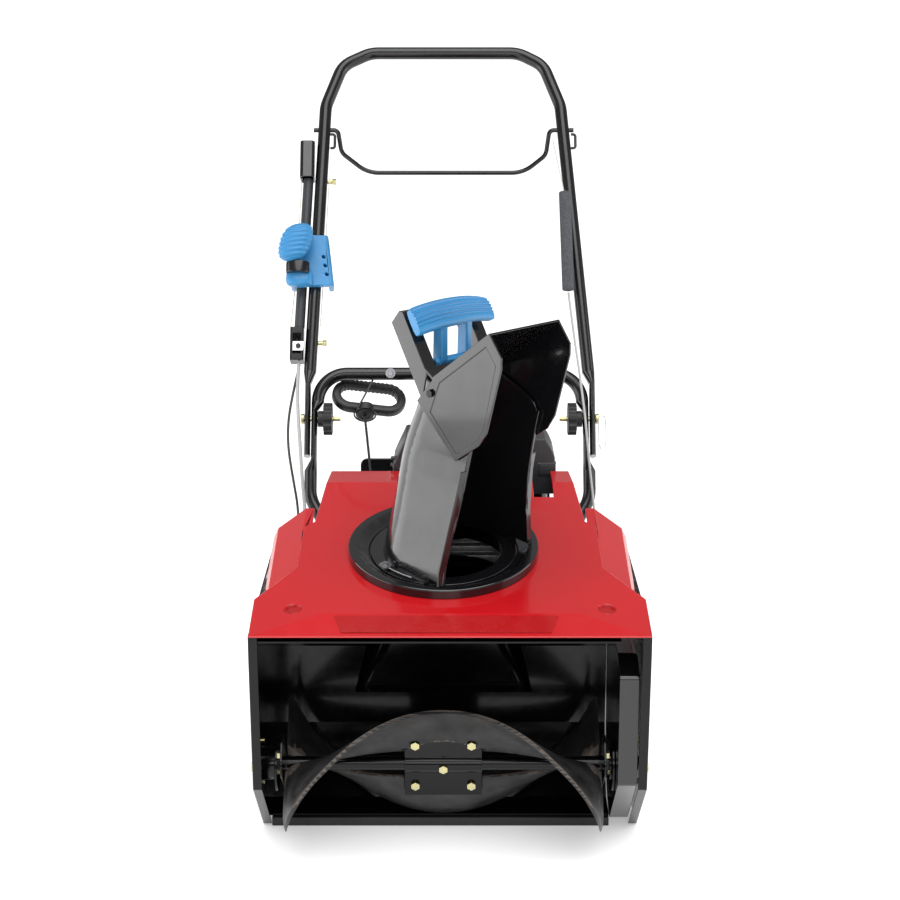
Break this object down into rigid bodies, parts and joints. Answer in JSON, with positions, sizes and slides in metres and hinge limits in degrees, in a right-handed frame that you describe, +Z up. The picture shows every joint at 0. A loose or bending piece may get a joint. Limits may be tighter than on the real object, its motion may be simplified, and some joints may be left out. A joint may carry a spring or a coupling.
{
  "type": "single stage snowblower",
  "caption": "Walk-behind snowblower with a rubber-paddle rotor, a turning discharge chute with a tilting deflector, and a folding tube handle.",
  "frame": {"origin": "on the ground under the middle of the whole machine", "axes": "+Z up, the intake faces -Y, the operator stands at +Y, +X is to the right seen from the front"},
  "size_m": [0.5749, 1.1462, 1.0614],
  "materials": {
    "red_cover": "glossy",
    "black_steel": "gloss powder coat",
    "black_plastic": "satin",
    "grey_plastic": "matte",
    "blue_plastic": "satin",
    "rubber": "worn",
    "tyre": "matte",
    "zinc": "yellow zinc",
    "steel": "bare",
    "alloy": "cast",
    "cable": "sheathed cable",
    "rope": "braided"
  },
  "bodies": {
    "chassis": {"rotor_housing": "black_steel", "discharge_duct": "black_steel", "side_plate_left": "black_steel", "side_plate_right": "black_steel", "scraper": "black_plastic", "belt_case": "black_plastic", "drive_belt": "rubber", "rotor_bearings": "zinc", "housing_bolts": "zinc", "shroud": "red_cover", "screw_plugs": "red_cover", "side_fenders": "red_cover", "chute_collar": "black_plastic", "engine_deck": "black_steel", "axle": "steel", "engine_block": "alloy", "blower_housing": "grey_plastic", "engine_cover": "grey_plastic", "fuel_tank": "black_plastic", "muffler_guard": "black_steel", "control_panel": "black_plastic", "lower_handle": "black_steel", "handle_bolts": "zinc", "rope_guide": "steel", "bail_cable": "cable", "chute_cables": "cable", "starter_rope": "rope"},
    "rotor": {"rotor_shaft": "black_steel", "rotor_paddles": "rubber", "rotor_brackets": "black_steel", "rotor_bolts": "zinc", "rotor_pulley": "steel"},
    "crankshaft": {"engine_pulley": "steel"},
    "tensioner": {"idler_arm": "steel"},
    "idler": {"idler_pulley": "steel"},
    "left_wheel": {"wheel_left": "tyre"},
    "right_wheel": {"wheel_right": "tyre"},
    "discharge_chute": {"chute": "black_plastic", "chute_clip": "zinc"},
    "chute_deflector": {"deflector": "black_plastic", "deflector_pins": "steel"},
    "deflector_trigger": {"trigger": "blue_plastic"},
    "folding_handle": {"upper_handle": "black_steel", "control_rail": "grey_plastic", "pulley_cover": "black_plastic", "rail_bracket": "black_steel", "rail_bolts": "zinc", "bail_stops": "black_steel", "cable_sleeve": "grey_plastic"},
    "chute_slider": {"slider_body": "blue_plastic", "slider_grip": "blue_plastic"},
    "control_pulley": {"cable_pulley": "grey_plastic"},
    "control_bail": {"bail": "black_steel"},
    "left_knob": {"knob_left": "black_plastic"},
    "right_knob": {"knob_right": "black_plastic"},
    "starter_grip": {"starter_handle": "black_plastic"},
    "tank_cap": {"fuel_cap": "black_plastic"},
    "key": {"ignition_key": "red_cover"},
    "choke": {"choke_knob": "black_plastic"},
    "primer": {"primer_bulb": "rubber"}
  },
  "joints": [
    {"name": "rotor_spin", "type": "hinge", "parent": "chassis", "child": "rotor", "pos_m": [-0.0095, -0.45, 0.12], "axis": [1, 0, 0], "continuous": true},
    {"name": "engine_spin", "type": "hinge", "parent": "chassis", "child": "crankshaft", "pos_m": [0.2, -0.06, 0.25], "axis": [1, 0, 0], "continuous": true},
    {"name": "tensioner_swing", "type": "hinge", "parent": "chassis", "child": "tensioner", "pos_m": [0.24, -0.17, 0.2595], "axis": [1, 0, 0], "range_deg": [0, 7], "stiffness_Nm_per_rad": 0.3, "springref_deg": -22.92, "deforming": ["drive_belt"]},
    {"name": "idler_spin", "type": "hinge", "parent": "tensioner", "child": "idler", "pos_m": [0.252, -0.25, 0.2475], "axis": [1, 0, 0], "continuous": true},
    {"name": "wheel_left_spin", "type": "hinge", "parent": "chassis", "child": "left_wheel", "pos_m": [-0.22, 0.12, 0.1], "axis": [1, 0, 0], "continuous": true},
    {"name": "wheel_right_spin", "type": "hinge", "parent": "chassis", "child": "right_wheel", "pos_m": [0.22, 0.12, 0.1], "axis": [1, 0, 0], "continuous": true},
    {"name": "chute_turn", "type": "hinge", "parent": "chassis", "child": "discharge_chute", "pos_m": [-0.0095, -0.34, 0.414], "axis": [0, -0.1908, 0.9816], "range_deg": [-145, 55]},
    {"name": "deflector_tilt", "type": "hinge", "parent": "discharge_chute", "child": "chute_deflector", "pos_m": [0.02303, -0.37253, 0.655], "axis": [0.7071, 0.7071, 0], "range_deg": [-8, 45]},
    {"name": "trigger_squeeze", "type": "hinge", "parent": "chute_deflector", "child": "deflector_trigger", "pos_m": [0.0039, -0.3534, 0.68824], "axis": [0.7071, 0.7071, 0], "range_deg": [0, 7], "stiffness_Nm_per_rad": 0.5, "springref_deg": -22.92},
    {"name": "handle_fold", "type": "hinge", "parent": "chassis", "child": "folding_handle", "pos_m": [0, 0.25, 0.45], "axis": [-1, 0, 0], "range_deg": [0, 85], "deforming": ["bail_cable", "chute_cables", "starter_rope"]},
    {"name": "slider_travel", "type": "slide", "parent": "folding_handle", "child": "chute_slider", "axis": [0.0417, 0.4691, 0.8822], "range_m": [-0.036, 0.092]},
    {"name": "pulley_turn", "type": "hinge", "parent": "folding_handle", "child": "control_pulley", "pos_m": [-0.25283, 0.47441, 0.87205], "axis": [0, -0.8829, 0.4695], "range_deg": [-210, 530]},
    {"name": "bail_pivot", "type": "hinge", "parent": "folding_handle", "child": "control_bail", "pos_m": [0, 0.49976, 0.91973], "axis": [1, 0, 0], "range_deg": [-10, 100]},
    {"name": "knob_left_turn", "type": "hinge", "parent": "chassis", "child": "left_knob", "pos_m": [-0.214, 0.25, 0.45], "axis": [1, 0, 0], "continuous": true},
    {"name": "knob_right_turn", "type": "hinge", "parent": "chassis", "child": "right_knob", "pos_m": [0.214, 0.25, 0.45], "axis": [1, 0, 0], "continuous": true},
    {"name": "starter_pull", "type": "slide", "parent": "chassis", "child": "starter_grip", "axis": [0, 0.8, 0.6], "range_m": [0, 0.5], "stiffness_N_per_m": 4, "springref_m": -0.3, "deforming": ["starter_rope"]},
    {"name": "fuel_cap_turn", "type": "hinge", "parent": "chassis", "child": "tank_cap", "pos_m": [0.03, 0.09, 0.44], "axis": [0, 0, 1], "continuous": true},
    {"name": "key_pull", "type": "slide", "parent": "chassis", "child": "key", "axis": [0, 1, 0], "range_m": [0, 0.012]},
    {"name": "choke_turn", "type": "hinge", "parent": "chassis", "child": "choke", "pos_m": [-0.03, 0.14, 0.372], "axis": [0, -1, 0], "range_deg": [0, 90]},
    {"name": "primer_press", "type": "slide", "parent": "chassis", "child": "primer", "axis": [0, -1, 0], "range_m": [0, 0.004], "stiffness_N_per_m": 400, "springref_m": -0.003}
  ],
  "couplings": [
    {"joint": "engine_spin", "follows": "rotor_spin", "ratio": 2.375},
    {"joint": "slider_travel", "follows": "chute_turn", "m_per_rad": -0.036},
    {"joint": "pulley_turn", "follows": "chute_turn", "ratio": -3.6}
  ]
}
